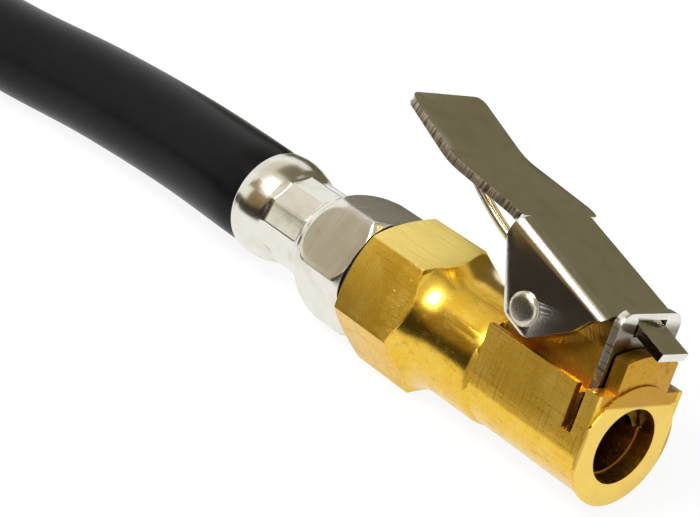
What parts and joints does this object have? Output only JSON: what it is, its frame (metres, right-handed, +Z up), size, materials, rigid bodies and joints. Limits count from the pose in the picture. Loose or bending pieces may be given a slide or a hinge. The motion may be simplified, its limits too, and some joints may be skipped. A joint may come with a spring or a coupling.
{
  "type": "clip-on tyre chuck with hose",
  "caption": "Brass clip-on tyre chuck with a sprung thumb lever and clamp plate, on a crimped black rubber air hose.",
  "frame": {"origin": "centre of the mouth's ring face, on the bore's axis", "axes": "+X points out of the mouth along the bore; +Z points up from the surface that the hexagon lies on"},
  "size_m": [0.2271, 0.1647, 0.032],
  "materials": {
    "brass_body": "machined, satin",
    "inner_brass": "machined",
    "plated_sheet": "bright nickel plate on stamped sheet",
    "plated_plate": "bright nickel plate",
    "steel_rivet": "satin",
    "spring_steel": "drawn wire",
    "seal_rubber": "matt",
    "ring_rubber": "satin",
    "plated_fitting": "nickel plate on turned brass",
    "plated_ferrule": "nickel plate",
    "hose_rubber": "satin",
    "braid_cotton": "woven"
  },
  "bodies": {
    "chuck": {"chuck_body": "brass_body", "lever_spring": "spring_steel", "valve_seal": "seal_rubber", "depressor": "inner_brass", "seal_retainer": "inner_brass", "sealing_ring": "ring_rubber", "hose_tail": "plated_fitting", "crimp_ferrule": "plated_ferrule", "hose_liner": "hose_rubber", "hose_braid": "braid_cotton", "hose_cover": "hose_rubber", "far_ferrule": "plated_ferrule", "far_tail": "plated_fitting", "far_sealing_ring": "ring_rubber"},
    "lever": {"lever": "plated_sheet", "pivot_rivet": "steel_rivet"},
    "clamp": {"clamp_plate": "plated_plate"}
  },
  "joints": [
    {"name": "lever_hinge", "type": "hinge", "parent": "chuck", "child": "lever", "pos_m": [-0.0137, 0.0023, 0.00891], "axis": [0, -0.9681, 0.2504], "range_deg": [0, 16], "stiffness_Nm_per_rad": 0.15, "springref_deg": -34.38, "deforming": ["lever_spring"]},
    {"name": "plate_slide", "type": "slide", "parent": "chuck", "child": "clamp", "axis": [0, 0.2504, 0.9681], "range_m": [0, 0.0029]}
  ],
  "couplings": [
    {"joint": "plate_slide", "follows": "lever_hinge", "m_per_rad": 0.01017}
  ]
}
